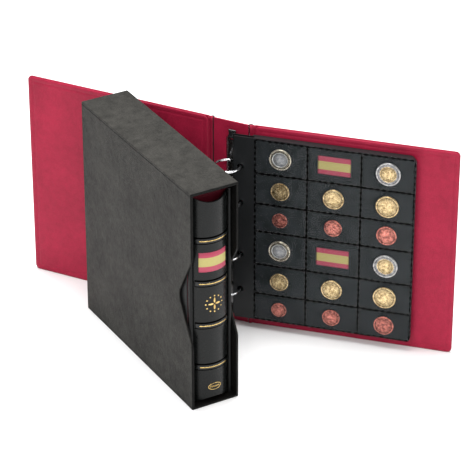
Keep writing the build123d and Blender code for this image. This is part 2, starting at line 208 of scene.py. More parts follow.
def closeSeams(piece, smooth=True):
    editMesh(piece.data, weldPoints, turnOut)
    smoothAll(piece.data, smooth)


# a swept piece gets caps over its open rims; the caps, which have more than four corners, stay flat
def fillEnds(piece):
    editMesh(piece.data, capRims, turnOut)
    piece.data.polygons.foreach_set("use_smooth", [len(face.vertices) < 5 for face in piece.data.polygons])


# a node with its settings: those that are no property of the node are inputs
def addNode(tree, kind, **settings):
    item = tree.nodes.new("ShaderNode" + kind)
    for key, value in settings.items():
        if hasattr(item, key):
            setattr(item, key, value)
        else:
            item.inputs[key.replace("_", " ")].default_value = value
    return item


# a Math node whose inputs are numbers or other nodes' outputs
def mathOf(tree, operation, *values):
    item = addNode(tree, "Math", operation=operation)
    for socket, value in zip(item.inputs, values):
        if isinstance(value, float):
            socket.default_value = value
        else:
            tree.links.new(value, socket)
    return item.outputs[0]


def noiseOf(tree, coords, scale, detail, **settings):
    texture = addNode(tree, "TexNoise", Scale=scale, Detail=detail, **settings)
    tree.links.new(coords, texture.inputs["Vector"])
    return texture.outputs["Fac"]


# smoothed cells, as the pebbles of leather
def cellsOf(tree, coords, scale):
    texture = addNode(tree, "TexVoronoi", feature="SMOOTH_F1", Scale=scale, Smoothness=0.6)
    tree.links.new(coords, texture.inputs["Vector"])
    return texture.outputs["Distance"]


def addBump(tree, height, strength, distance):
    bump = addNode(tree, "Bump", Strength=strength, Distance=distance)
    tree.links.new(height, bump.inputs["Height"])
    tree.links.new(bump.outputs["Normal"], tree.nodes["Principled BSDF"].inputs["Normal"])


# second value of the piece's own UV: up a label or a band, or out from a coin's middle
def uvAcross(tree):
    uvMap = addNode(tree, "UVMap", uv_map="UVMap")
    split = addNode(tree, "SeparateXYZ")
    tree.links.new(uvMap.outputs["UV"], split.inputs[0])
    return split.outputs["Y"]


def startMaterial(name, colour, roughness, metallic=0.0, specular=0.5):
    material = bpy.data.materials.new(name)
    material.use_nodes = True
    tree = material.node_tree
    shader = tree.nodes["Principled BSDF"]
    shader.inputs["Base Color"].default_value = (*colour, 1)
    shader.inputs["Roughness"].default_value = roughness
    shader.inputs["Metallic"].default_value = metallic
    shader.inputs["Specular IOR Level"].default_value = specular
    coords = addNode(tree, "TexCoord")
    return material, tree, shader, coords.outputs["Object"]


def rampOf(tree, source, stops, constant=False):
    ramp = addNode(tree, "ValToRGB")
    band = ramp.color_ramp
    band.interpolation = "CONSTANT" if constant else "LINEAR"
    while len(band.elements) < len(stops):
        band.elements.new(1.0)
    for element, (position, colour) in zip(band.elements, stops):
        element.position = position
        element.color = (*colour, 1) if len(colour) == 3 else colour
    tree.links.new(source, ramp.inputs["Fac"])
    return ramp.outputs["Color"]


def grey(value):
    return (value, value, value)


def shade(colour, factor):
    return tuple(min(1.0, channel * factor) for channel in colour)


def multiplied(tree, first, second, share=1.0):
    mix = addNode(tree, "MixRGB", blend_type="MULTIPLY")
    mix.inputs["Fac"].default_value = share
    tree.links.new(first, mix.inputs["Color1"])
    tree.links.new(second, mix.inputs["Color2"])
    return mix.outputs["Color"]


# leather-look skin: pebbled grain, long soft creases and a cloudy change of tone
def leatherSkin(name, colour, roughness, grain=0.0011, depth=0.00022, mottle=0.25, crease=0.5, specular=0.4,
                shadow=None):
    material, tree, shader, coords = startMaterial(name, colour, roughness, specular=specular)
    link = tree.links.new
    cells = cellsOf(tree, coords, 1 / grain)
    speck = noiseOf(tree, coords, 0.9 / grain, 2.0, Roughness=0.6)
    cloud = noiseOf(tree, coords, 0.16 / grain, 4.0, Roughness=0.6)
    broad = noiseOf(tree, coords, 22.0, 3.0, Roughness=0.5)
    folds = noiseOf(tree, coords, 0.45 / grain, 5.0, Roughness=0.7, Distortion=1.2)
    # mean of the three noises, spread over the ramp between a darker and a lighter tone
    total = mathOf(tree, "ADD", mathOf(tree, "ADD", cloud, broad), speck)
    skin = rampOf(tree, mathOf(tree, "DIVIDE", total, 3.0),
                  [(0.36, shade(colour, 1 - mottle)), (0.5, colour), (0.64, shade(colour, 1 + mottle))])
    link(skin if shadow is None else shadow(tree, coords, skin), shader.inputs["Base Color"])
    link(rampOf(tree, folds, [(0.3, grey(roughness - 0.08)), (0.75, grey(roughness + 0.1))]),
         shader.inputs["Roughness"])
    addBump(tree, mathOf(tree, "MULTIPLY_ADD", folds, crease, cells), 0.55, depth)
    return material


# plated metal: fine scratches in the gloss, a little tarnish in the colour
def metalFinish(name, colour, dull, roughness, tarnish=60.0, depth=0.00003):
    material, tree, shader, coords = startMaterial(name, colour, roughness, metallic=1.0)
    link = tree.links.new
    patches = noiseOf(tree, coords, tarnish, 5.0, Roughness=0.65)
    marks = noiseOf(tree, coords, 2600.0, 3.0, Roughness=0.6)
    link(rampOf(tree, patches, [(0.35, dull), (0.65, colour)]), shader.inputs["Base Color"])
    link(rampOf(tree, marks, [(0.3, grey(max(0.04, roughness - 0.06))), (0.7, grey(roughness + 0.12))]),
         shader.inputs["Roughness"])
    addBump(tree, marks, 0.3, depth)
    return material


# card, paper or moulded plastic: a fibre or orange-peel bump and faint specks
def plainFinish(name, colour, roughness, scale, depth, speck=0.15, coat=0.0, specular=0.5):
    material, tree, shader, coords = startMaterial(name, colour, roughness, specular=specular)
    shader.inputs["Coat Weight"].default_value = coat
    shader.inputs["Coat Roughness"].default_value = 0.12
    fibre = noiseOf(tree, coords, scale, 5.0, Roughness=0.7)
    cloud = noiseOf(tree, coords, scale * 0.06, 3.0)
    tone = mathOf(tree, "MULTIPLY_ADD", fibre, 0.5, mathOf(tree, "MULTIPLY", cloud, 0.5))
    tree.links.new(rampOf(tree, tone, [(0.35, shade(colour, 1 - speck)), (0.65, shade(colour, 1 + speck))]),
                   shader.inputs["Base Color"])
    addBump(tree, fibre, 0.4, depth)
    return material


# red, yellow and red bands across the piece's own UV, on lightly toothed paper
def stripedPaper(name, red, yellow, edge=0.27):
    material, tree, shader, coords = startMaterial(name, red, 0.5)
    bands = rampOf(tree, uvAcross(tree), [(0.0, red), (edge, yellow), (1 - edge, red)], constant=True)
    wearAndShade = noiseOf(tree, coords, 420.0, 4.0)
    worn = multiplied(tree, bands, rampOf(tree, wearAndShade, [(0.3, grey(0.7)), (0.7, grey(1.0))]), share=0.25)
    tree.links.new(worn, shader.inputs["Base Color"])
    addBump(tree, wearAndShade, 0.3, 0.00005)
    return material


# how far the painted shade on the slipcase's wrap reaches: a skin at the sides and at the ends, its open edge, its
# seam
paintedShadeReach = dict(side=0.0006, end=0.0007, edge=0.0011, seam=0.0005)


# painted shade: the slipcase's wrap is darkened inside and round its open edge, with a painted shadow along the
# seam under the top board
def caseShadow(tree, coords, skin):
    low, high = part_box("slipcase_base_board")
    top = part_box("slipcase_top_board")
    halfHeight = top[1][2] / 2
    split = addNode(tree, "SeparateXYZ")
    tree.links.new(coords, split.inputs[0])
    x, y, z = (split.outputs[axis] for axis in "XYZ")
    sides = mathOf(tree, "GREATER_THAN", mathOf(tree, "ABSOLUTE", x), high[0] - paintedShadeReach["side"])
    fromMiddle = mathOf(tree, "ABSOLUTE", mathOf(tree, "SUBTRACT", z, halfHeight))
    ends = mathOf(tree, "GREATER_THAN", fromMiddle, halfHeight - paintedShadeReach["end"])
    behind = mathOf(tree, "GREATER_THAN", y, high[1] - paintedShadeReach["side"])
    outside = mathOf(tree, "MAXIMUM", mathOf(tree, "MAXIMUM", sides, ends), behind)
    notEdge = mathOf(tree, "GREATER_THAN", y, low[1] + paintedShadeReach["edge"])
    fromSeam = mathOf(tree, "ABSOLUTE", mathOf(tree, "SUBTRACT", z, top[0][2]))
    notSeam = mathOf(tree, "GREATER_THAN", fromSeam, paintedShadeReach["seam"])
    clear = mathOf(tree, "MULTIPLY", mathOf(tree, "MULTIPLY", outside, notEdge), notSeam)
    # painted shade: inside the case, round its open edge and on the seam the skin keeps 0.12 of its colour
    return multiplied(tree, skin, rampOf(tree, clear, [(0.0, grey(0.12)), (1.0, grey(1.0))]))


# painted shade and sheen: darker towards the two long edges of a band, in the creases where it meets the spine, and
# lightened in its middle
def bandShadeAndSheen(tree, coords, skin):
    return multiplied(tree, skin, rampOf(tree, uvAcross(tree), [
        (0.0, grey(0.05)), (0.14, grey(0.1)), (0.25, grey(1.3)),
        (0.75, grey(1.3)), (0.86, grey(0.1)), (1.0, grey(0.05))]))


caseColours = dict(side=(0.0285, 0.0272, 0.0242), board=(0.008, 0.0085, 0.0085), spine=(0.0046, 0.0053, 0.0052),
                   red=(0.335, 0.0115, 0.041))
caseSkin = leatherSkin("caseLeatherette", caseColours["side"], 0.6, grain=0.0014, depth=0.0007, mottle=0.6,
                       crease=1.1, specular=0.12, shadow=caseShadow)
coverSkin = leatherSkin("coverLeatherette", caseColours["board"], 0.45, grain=0.0011, mottle=0.25, specular=0.15)
spineSkin = leatherSkin("spineLeatherette", caseColours["spine"], 0.3, grain=0.0008, depth=0.0001, mottle=0.2,
                        specular=0.22)
ribSkin = leatherSkin("ribLeatherette", caseColours["spine"], 0.26, grain=0.0008, depth=0.0001, mottle=0.2,
                      specular=0.3, shadow=bandShadeAndSheen)
# the creases beside a rib, darkened by painted shade, are matte as well
ribTree = ribSkin.node_tree
ribGloss = rampOf(ribTree, uvAcross(ribTree), [(0.0, grey(0.0)), (0.15, grey(0.02)), (0.27, grey(0.35)),
                                               (0.73, grey(0.35)), (0.85, grey(0.02)), (1.0, grey(0.0))])
ribTree.links.new(ribGloss, ribTree.nodes["Principled BSDF"].inputs["Specular IOR Level"])
redVinyl = leatherSkin("redLiningVinyl", caseColours["red"], 0.5, grain=0.0012, depth=0.00025, mottle=0.2,
                       crease=0.6, specular=0.2)
# painted shade: the same red lining vinyl, darkened for the cased album, whose lining lies in shade inside the
# slipcase
shadedVinyl = leatherSkin("shadedLiningVinyl", (0.07, 0.003, 0.009), 0.55, grain=0.0012, specular=0.1)
goldFoil = metalFinish("goldFoil", (0.86, 0.62, 0.24), (0.45, 0.3, 0.1), 0.28, tarnish=420.0)
brightNickel = metalFinish("brightNickel", (0.82, 0.82, 0.84), (0.62, 0.62, 0.64), 0.1, depth=0.00001)
# painted reflection: nickel like the rings', darkened to stand for the dark surroundings the ring plate and rivets
# reflect
shadedNickel = metalFinish("shadedNickel", (0.3, 0.3, 0.31), (0.12, 0.12, 0.12), 0.22)
leverPlastic = plainFinish("leverPlastic", (0.012, 0.012, 0.013), 0.3, 1500.0, 0.00004, coat=0.3)
leafPlastic = plainFinish("leafPlastic", (0.012, 0.013, 0.014), 0.35, 900.0, 0.00006, specular=0.3)
leafCard = plainFinish("leafCard", (0.024, 0.028, 0.03), 0.85, 1400.0, 0.00003, speck=0.4, specular=0.06)
seamPlastic = plainFinish("weldedSeam", (0.0008, 0.0008, 0.0009), 0.6, 1600.0, 0.00005, specular=0.03)
labelStripes = stripedPaper("labelStripes", (0.42, 0.045, 0.09), (0.46, 0.4, 0.13))


# struck coin metal: radius comes from the piece's own UV; painted shade from it darkens the field towards the rim
# and most in a groove inside the rim, so the rim looks bright, and the field is toned unevenly
def coinMetal(name, colour, dull, roughness):
    material, tree, shader, coords = startMaterial(name, colour, roughness, metallic=1.0)
    link = tree.links.new
    # painted shade: darker towards the rim and darkest in the groove inside it; the rim itself keeps its full
    # colour
    wearAndShade = rampOf(tree, uvAcross(tree), [(0.0, grey(1.0)), (0.5, grey(0.85)), (0.8, grey(0.55)),
                                         (0.87, grey(0.16)), (0.91, grey(1.0)), (1.0, grey(1.0))])
    tarnish = noiseOf(tree, coords, 330.0, 6.0, Roughness=0.7)
    marks = noiseOf(tree, coords, 1900.0, 3.0, Roughness=0.6)
    tone = rampOf(tree, tarnish, [(0.38, dull), (0.6, colour)])
    link(multiplied(tree, tone, wearAndShade), shader.inputs["Base Color"])
    link(rampOf(tree, marks, [(0.3, grey(roughness - 0.06)), (0.7, grey(roughness + 0.12))]),
         shader.inputs["Roughness"])
    addBump(tree, mathOf(tree, "MULTIPLY_ADD", tarnish, 3.0, marks), 0.45, 0.00005)
    return material


brassCoin = coinMetal("brassCoin", (0.97, 0.75, 0.41), (0.36, 0.235, 0.1), 0.24)
paleBrass = coinMetal("paleBrassCoin", (1.0, 0.94, 0.78), (0.44, 0.37, 0.27), 0.24)
copperCoin = coinMetal("copperCoin", (0.85, 0.3, 0.23), (0.2, 0.06, 0.055), 0.25)
silverCoin = coinMetal("silverCoin", (0.72, 0.71, 0.7), (0.3, 0.3, 0.31), 0.28)
brightSilver = coinMetal("silverCoreCoin", (1.0, 1.0, 1.0), (0.58, 0.61, 0.66), 0.3)
print("materials made")


# a CAD node keeps its mesh and takes a material
def finishNode(node, material):
    data = frame["nodes"][node].data
    data.materials.clear()
    data.materials.append(material)


# a new piece rides its body and stands for the CAD nodes it replaces
def finishPiece(piece, material, body, slot, *nodes):
    piece.data.materials.clear()
    piece.data.materials.append(material)
    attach(piece, body)
    if nodes:
        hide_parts(*nodes)


# two-sided wrap: lining where a point is further than bound towards the reading side, and further than
# inward from the hinge; cover skin elsewhere
def twoSided(name, origin, run, facing, bound, inward=-1.0):
    material, tree, shader, coords = startMaterial(name, caseColours["red"], 0.5, specular=0.18)
    offset = addNode(tree, "VectorMath", operation="SUBTRACT")
    tree.links.new(coords, offset.inputs[0])
    offset.inputs[1].default_value = tuple(origin)
    steps = []
    for direction, limit in ((facing, bound), (run, inward)):
        along = addNode(tree, "VectorMath", operation="DOT_PRODUCT")
        tree.links.new(offset.outputs["Vector"], along.inputs[0])
        along.inputs[1].default_value = tuple(direction)
        steps.append(mathOf(tree, "GREATER_THAN", along.outputs["Value"], limit))
    isLining = mathOf(tree, "MULTIPLY", *steps)
    cloud = noiseOf(tree, coords, 150.0, 4.0)
    skin = rampOf(tree, isLining, [(0.0, caseColours["board"]), (0.5, caseColours["red"])], constant=True)
    tone = rampOf(tree, cloud, [(0.35, grey(0.8)), (0.65, grey(1.0))])
    tree.links.new(multiplied(tree, skin, tone), shader.inputs["Base Color"])
    addBump(tree, cellsOf(tree, coords, 900.0), 0.5, 0.0002)
    return material


backSweep = math.radians(10)  # the open back cover lies this far past flat
openAcross, openReading = openAlbum[1:]
frontHinge = np.array(joints["front_cover_hinge"]["pos_m"]) * [1, 1, 0]
backHinge = np.array(joints["back_cover_hinge"]["pos_m"]) * [1, 1, 0]
backRun = -math.cos(backSweep) * openAcross - math.sin(backSweep) * openReading
backFacing = -math.sin(backSweep) * openAcross + math.cos(backSweep) * openReading

# skins of the CAD pieces that keep their shape
for node in frame["record"]["behaviour"]["bodies"]["slipcase"]:
    finishNode(node, caseSkin)
for album in ("cased", "open"):
    finishNode(f"{album}_spine_shell", spineSkin)
    # the cased album's spine lining takes the darkened copy of the red vinyl as painted shade
    finishNode(f"{album}_spine_lining", redVinyl if album == "open" else shadedVinyl)
    for node in ("rings_front", "rings_back"):
        finishNode(f"{album}_{node}", brightNickel)
    for node in ("ring_plate", "rivets"):
        finishNode(f"{album}_{node}", shadedNickel)
    for node in ("lever_lower", "lever_upper"):
        finishNode(f"{album}_{node}", leverPlastic)
for node in ("front_lining", "back_lining"):
    finishNode("cased_" + node, redVinyl)
finishNode("cased_front_hinge", coverSkin)
finishNode("cased_back_hinge", coverSkin)
# the lining is turned over the edge of a board, to a little behind its middle; a hinge strip is red inside
wrapBound, webBound, beadBound = -0.0009, -0.0003, -0.0009
finishNode("open_front_board", twoSided("openFrontWrap", frontHinge, openAcross, openReading, wrapBound))
finishNode("open_back_board", twoSided("openBackWrap", backHinge, backRun, backFacing, wrapBound))
casedAcross, casedReading = casedAlbum[1:]
for side, sign in (("front", -1), ("back", 1)):
    wrap = twoSided("casedWrap" + side.capitalize(), hingeOf(f"cased_{side}_hinge"), casedReading,
                    sign * casedAcross, wrapBound)
    finishNode(f"cased_{side}_board", wrap)
finishNode("cased_leaves", leafPlastic)
for node in ("leaf_lower", "leaf_second", "leaf_top_film"):
    finishNode(node, leafPlastic)
finishNode("leaf_top_cards", leafCard)


# flexible hinge strip of the open album, pressed thin between its round bead and the board: the bead nearly
# fills the joint beside the spine, and a sine along the height ripples the strip
hinge = dict(bead=0.00029, webHalf=0.0008, waist=0.0005, waistEnd=1.1, beadSteps=28, webSteps=12, bands=60,
             wave=0.00006, waveTurns=260, flatEnd=0.0002)


def makeHinge(name, node, origin, run, facing, material, body):
    radius = -extent(node, origin, run)[0] + hinge["bead"]
    reach = extent(node, origin, run)[1]
    bottom, top = extent(node, origin, up)
    start = math.asin(hinge["webHalf"] / radius)
    turn = np.linspace(start, 2 * math.pi - start, hinge["beadSteps"])
    along = np.linspace(radius * math.cos(start), reach, hinge["webSteps"])[1:]
    t = (along - along[0]) / (along[-1] - along[0])  # 0 at the bead, 1 at the board
    half = hinge["webHalf"] - hinge["waist"] * np.sin(math.pi * np.clip(t * hinge["waistEnd"], 0, 1)) ** 2
    x = np.concatenate([radius * np.cos(turn), along, along[::-1]])
    y = np.concatenate([radius * np.sin(turn), -half, half[::-1]])
    z = np.linspace(bottom, top, hinge["bands"])
    isWeb = (x > radius) & (x < reach - hinge["flatEnd"])
    ripple = hinge["wave"] * np.sin(z * hinge["waveTurns"])[:, None] * isWeb[None, :]
    gx, gz = np.meshgrid(x, z)
    strip = gridMesh(name, place(origin, (run, facing, up), gx, np.broadcast_to(y, gx.shape) + ripple, gz),
                     wrap=True)
    fillEnds(strip)
    finishPiece(strip, material, body, "red_lining", node)


frontWeb = twoSided("openFrontHinge", frontHinge, openAcross, openReading, webBound, beadBound)
makeHinge("openFrontHingeStrip", "open_front_hinge", frontHinge, openAcross, openReading, frontWeb,
          "open_front_cover")
backWeb = twoSided("openBackHinge", backHinge, backRun, backFacing, webBound, beadBound)
makeHinge("openBackHingeStrip", "open_back_hinge", backHinge, backRun, backFacing, backWeb, "open_back_cover")


# padded lining: it rises over a soft edge band, dips along a welded line just inside it, and swells a little
# in the middle
lining = dict(edge=0.0018, weldAt=0.0052, weldWidth=0.0011, weldDepth=0.00045, swell=0.25, corner=0.0048,
              wrap=0.0014, waves=(2.3, 1.7), gridBand=0.009, gridFine=16, gridCoarse=60)


def makeLining(name, node, origin, run, facing):
    low, high = extent(node, origin, run)
    bottom, top = extent(node, origin, up)
    base, crown = extent(node, origin, facing)
    thick = crown - base
    high, bottom, top = high + lining["wrap"], bottom - lining["wrap"], top + lining["wrap"]

    def padHeight(x, y, inside):
        weld = np.exp(-((inside - lining["weldAt"]) / lining["weldWidth"]) ** 2)
        u, v = (x - low) / (high - low), (y - bottom) / (top - bottom)
        wave = 0.5 + 0.5 * np.sin(lining["waves"][0] * math.pi * u + 1.1) * np.sin(
            lining["waves"][1] * math.pi * v + 0.4)
        swell = 1 - lining["swell"] + lining["swell"] * wave
        return roundEdge(inside, lining["edge"]) * (thick * swell - lining["weldDepth"] * weld)

    spacing = lining["gridBand"], lining["gridFine"], lining["gridCoarse"]
    x, y = edgeSpaced(low, high, *spacing), edgeSpaced(bottom, top, *spacing)
    return padMesh(name, origin + facing * base, (run, up, facing), x, y, lining["corner"], padHeight)


frontPad = makeLining("frontLiningPad", "open_front_lining", frontHinge, openAcross, openReading)
finishPiece(frontPad, redVinyl, "open_front_cover", "red_lining", "open_front_lining")
backPad = makeLining("backLiningPad", "open_back_lining", backHinge, backRun, backFacing)
finishPiece(backPad, redVinyl, "open_back_cover", "red_lining", "open_back_lining")
print("linings padded")


# ribs, gold lines and labels are bands that follow the spine's curve: an angle across the spine, and a height
# that is a profile of the way up the band
spine = dict(ribSteps=48, ribRound=18, gildShare=0.8, goldHalf=0.0005, endTaper=0.03, endStart=0.15,
             ribWall=0.0001, ribPower=0.45, labelRows=6, labelWall=0.00005, labelProud=0.0002, goldRows=5,
             goldClear=0.00005, goldCrown=0.00013)


# the shell is an arc: radius from its half width and bulge, and the place of its middle
def spineCurve(album, axes):
    origin, across, reading = axes
    left, right = extent(album + "_spine_shell", origin, across)
    outer, seat = extent(album + "_spine_shell", origin, reading)
    half, bulge = (right - left) / 2, seat - outer
    radius = (half ** 2 + bulge ** 2) / (2 * bulge)
    return radius, outer + radius


def spineBand(name, album, axes, low, high, halfAngle, profile, rows, wallIn):
    origin, across, reading = axes
    radius, centre = spineCurve(album, axes)
    angle = np.linspace(-halfAngle, halfAngle, spine["ribSteps"])
    t = np.linspace(0, 1, rows)
    taper = np.minimum(1, (halfAngle - abs(angle)) / spine["endTaper"] + spine["endStart"])
    lift = profile(t)[:, None] * taper[None, :]
    height = np.broadcast_to((low + (high - low) * t)[:, None], lift.shape)
    reach = radius + lift
    x, y = reach * np.sin(angle), centre - reach * np.cos(angle)
    front = place(origin, (across, reading, up), x, y, height)
    inner = radius - wallIn
    xi = np.broadcast_to(inner * np.sin(angle), lift.shape)
    yi = np.broadcast_to(centre - inner * np.cos(angle), lift.shape)
    back = place(origin, (across, reading, up), xi, yi, height)
    ring = np.concatenate([front, back[::-1]], axis=0)
    ring = np.concatenate([ring, ring[:1]], axis=0)
    u = np.broadcast_to((angle + halfAngle)[None, :] / (2 * halfAngle), lift.shape)
    uvFront = np.stack([u, np.broadcast_to(t[:, None], u.shape)], axis=-1)
    uv = np.concatenate([uvFront, uvFront[::-1], uvFront[:1]], axis=0)
    band = gridMesh(name, ring, uv=uv)
    fillEnds(band)
    return band


def ribProfile(t):  # a sine raised to a power, which flattens its crown
    return spine["ribProud"] * np.maximum(0.02, np.sin(math.pi * t)) ** spine["ribPower"]


def labelProfile(t):
    return np.full_like(t, spine["labelProud"])


def goldProfile(t):  # thin strip on the crown of a rib
    return spine["ribProud"] + spine["goldClear"] + spine["goldCrown"] * np.sin(math.pi * t)


# emblem: beads in a circle round four petals; below it an oval with a row of beads
emblem = dict(domeSteps=14, ringSteps=28, rise=0.0002, beads=12, ring=0.0092, bead=0.00085, petalLong=0.00306,
              petalWide=0.00108, petalAt=0.00391, oval=(0.0075, 0.004), ovalHole=0.86, rowBeads=7,
              rowReach=0.62, rowBead=(0.0005, 0.0011))


# shallow gilt dome on the spine: an ellipse round a point at x across the spine and a height; the hole is a
# share of its size
def giltDome(name, axes, radius, centre, x, height, halfWide, halfTall, hole=0.0):
    origin, across, reading = axes
    rise = emblem["rise"]
    angle = np.linspace(0, 2 * math.pi, emblem["ringSteps" if hole else "domeSteps"], endpoint=False)
    share = np.array([hole, hole, 0.5 + hole / 2, 1.0, 1.0])[:, None]
    lift = np.array([0.0, rise, rise, rise * 0.7, 0.0])[:, None] * np.ones(len(angle))
    if not hole:
        share, lift = share[1:], lift[1:]
    px, pz = x + share * halfWide * np.cos(angle), height + share * halfTall * np.sin(angle)
    turn = np.arcsin(px / radius)
    reach = radius + lift
    grid = place(origin, (across, reading, up), reach * np.sin(turn), centre - reach * np.cos(turn), pz)
    if hole:
        grid = np.concatenate([grid, grid[:1]])
    return gridMesh(name, grid, wrap=True)


def makeOrnament(album, axes):
    radius, centre = spineCurve(album, axes)
    levels = points(album + "_spine_ornament")[:, 2]
    between = (levels.min() + levels.max()) / 2
    tail, head = levels[levels < between], levels[levels > between]
    markMiddle = (tail.min() + tail.max()) / 2
    middle = (head.min() + head.max()) / 2
    domes = []
    for turn in np.arange(emblem["beads"]) * 2 * math.pi / emblem["beads"]:
        domes.append(giltDome("bead", axes, radius, centre, emblem["ring"] * math.sin(turn),
                              middle + emblem["ring"] * math.cos(turn), emblem["bead"], emblem["bead"]))
    for dx, dz in ((0, 1), (1, 0), (0, -1), (-1, 0)):
        halfWide, halfTall = emblem["petalWide"], emblem["petalLong"]
        if dx:
            halfWide, halfTall = halfTall, halfWide
        domes.append(giltDome("petal", axes, radius, centre, dx * emblem["petalAt"],
                              middle + dz * emblem["petalAt"], halfWide, halfTall))
    wide, tall = emblem["oval"]
    domes.append(giltDome("oval", axes, radius, centre, 0, markMiddle, wide, tall, hole=emblem["ovalHole"]))
    for x in np.linspace(-emblem["rowReach"] * wide, emblem["rowReach"] * wide, emblem["rowBeads"]):
        domes.append(giltDome("bead", axes, radius, centre, x, markMiddle, *emblem["rowBead"]))
    ornament = joinMeshes(album + "SpineOrnament", domes)
    fillEnds(ornament)
    return ornament


for album, axes in (("cased", casedAlbum), ("open", openAlbum)):
    origin, across, reading = axes
    body = "cased_album" if album == "cased" else "open_spine"
    radius, centre = spineCurve(album, axes)
    levels = np.unique(np.round(points(album + "_spine_ribs")[:, 2], 5))
    lows, tops = levels[0::2], levels[1::2]  # the ribs' flat faces, from the tail up
    outer = extent(album + "_spine_ribs", origin, reading)[0]
    spine["ribProud"] = centre - radius - outer
    halfAngle = math.asin(extent(album + "_spine_ribs", origin, across)[1] / radius)
    ribs = [spineBand("rib", album, axes, low, high, halfAngle, ribProfile, spine["ribRound"], spine["ribWall"])
            for low, high in zip(lows, tops)]
    ribPiece = joinMeshes(album + "SpineRibs", ribs)
    smoothAll(ribPiece.data)
    finishPiece(ribPiece, ribSkin, body, "spine_skin", album + "_spine_ribs")
    gilding = [spineBand("line", album, axes, middle - spine["goldHalf"], middle + spine["goldHalf"],
                         halfAngle * spine["gildShare"], goldProfile, spine["goldRows"],
                         -0.5 * spine["ribProud"])
               for middle in (lows + tops) / 2]
    lines = joinMeshes(album + "SpineGoldLines", gilding)
    finishPiece(lines, goldFoil, body, "gold_foil", album + "_spine_gold_lines")
    low, high = (corner[2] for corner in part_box(album + "_spine_label"))
    halfAngle = spine["gildShare"] * math.asin(extent(album + "_spine_label", origin, across)[1] / radius)
    label = spineBand(album + "SpineLabel", album, axes, low, high, halfAngle, labelProfile,
                      spine["labelRows"], spine["labelWall"])
    finishPiece(label, labelStripes, body, "striped_paper", album + "_spine_label")
    finishPiece(makeOrnament(album, axes), goldFoil, body, "gold_foil", album + "_spine_ornament")
print("spines dressed")


# top leaf: every place on it is measured along the leaf, up, and out of its reading side
leafOrigin = np.array(joints["top_leaf_turn"]["pos_m"]) * [1, 1, 0]
leafLeft, leafRight = extent("leaf_top_pockets", leafOrigin, backRun)
leafLow, leafHigh = extent("leaf_top_pockets", leafOrigin, up)
filmFront = extent("leaf_top_film", leafOrigin, backFacing)[1]
leafAxes = (backRun, up, backFacing)
leaf = dict(rowHeights=(40, 35.6, 32.9, 40, 35.6, 32.9), columns=3, corner=0.005, weldHalf=0.0007,
            pillow=0.0009, filmWall=0.00012, edgeBand=0.0035, gridBand=0.004, gridFine=6, gridAcross=42,
            gridUp=28, ripple=0.25, overCoin=0.00038, tent=0.0028, clear=0.0001, alpha=0.07)
coinFloor = extent("leaf_top_cards", leafOrigin, backFacing)[1]
rowEdges = leafHigh - np.concatenate([[0], np.cumsum(leaf["rowHeights"])]) / 1000
columnEdges = np.linspace(leafLeft, leafRight, leaf["columns"] + 1)

# column, row within each half of the leaf, diameter, thickness, numeral and core diameter, in millimetres
coinKinds = [
    dict(kind="silver_core", column=0, row=0, across=23.25, thick=2.33, mark="1", core=16.5),
    dict(kind="gold_core", column=2, row=0, across=25.75, thick=2.2, mark="2", core=18.0),
    dict(kind="gold_small", column=0, row=1, across=19.75, thick=1.93, mark="10", core=0),
    dict(kind="gold_middle", column=1, row=1, across=22.25, thick=2.14, mark="20", core=0),
    dict(kind="gold_large", column=2, row=1, across=24.25, thick=2.38, mark="50", core=0),
    dict(kind="copper_small", column=0, row=2, across=16.25, thick=1.67, mark="1", core=0),
    dict(kind="copper_middle", column=1, row=2, across=18.75, thick=1.67, mark="2", core=0),
    dict(kind="copper_large", column=2, row=2, across=21.25, thick=1.67, mark="5", core=0),
]


def cellMiddle(column, row):
    return (columnEdges[column] + columnEdges[column + 1]) / 2, (rowEdges[row] + rowEdges[row + 1]) / 2


coinSpots = [(kind, *cellMiddle(kind["column"], kind["row"] + half)) for kind in coinKinds for half in (0, 3)]


# grid steps that crowd beside every weld
def pocketSteps(edges, coarse):
    edges = np.sort(edges)
    return np.unique(np.concatenate([edgeSpaced(a, b, leaf["gridBand"], leaf["gridFine"], coarse)
                                     for a, b in zip(edges, edges[1:])]))


# clear film over every pocket: down on its welds, pillowed and rippled by crossed sines in between, and
# stretched over each coin like a tent whose height halves about every two millimetres
def filmHeight(x, y):
    fromColumn = np.min(abs(x[..., None] - columnEdges), axis=-1)
    fromRow = np.min(abs(y[..., None] - rowEdges), axis=-1)
    fromWeld = np.maximum(np.minimum(fromColumn, fromRow) - leaf["weldHalf"], 0)
    rise = roundEdge(fromWeld, leaf["edgeBand"])
    ripple = 1 + leaf["ripple"] * np.sin(x * 410 + y * 130) * np.sin(y * 270 - x * 90)
    height = leaf["pillow"] * ripple * rise
    for kind, cx, cy in coinSpots:
        away = np.hypot(x - cx, y - cy) - kind["across"] / 2000
        tent = np.exp(-np.maximum(away, 0) / leaf["tent"])
        over = kind["thick"] / 1000 + leaf["overCoin"]
        height = np.maximum(height, over * tent * np.minimum(1, rise * 1.6))
    return height + leaf["clear"]


gx, gy = roundedGrid(pocketSteps(columnEdges, leaf["gridAcross"]), pocketSteps(rowEdges, leaf["gridUp"]),
                     leaf["corner"])[:2]
clearFilm = gridMesh("pocketFilm", place(leafOrigin + backFacing * filmFront, leafAxes, gx, gy, filmHeight(gx, gy)))
wall = clearFilm.modifiers.new("wall", "SOLIDIFY")
wall.thickness = leaf["filmWall"]
wall.offset = 1
filmMaterial, tree, shader, coords = startMaterial("clearPocketFilm", (0.03, 0.032, 0.035), 0.1, specular=0.8)
shader.inputs["Alpha"].default_value = leaf["alpha"]
addBump(tree, noiseOf(tree, coords, 55.0, 2.0), 0.5, 0.0006)
finishPiece(clearFilm, filmMaterial, "top_leaf", "clear_film", "leaf_top_pockets")


# welded seams: a half-round bead along each line, pinched every few millimetres by the welding bar
seam = dict(width=0.0026, height=0.0008, pinch=0.0068, step=0.0011, steps=7, thin=0.34, taper=0.002,
            wander=0.00012, inset=0.0014)


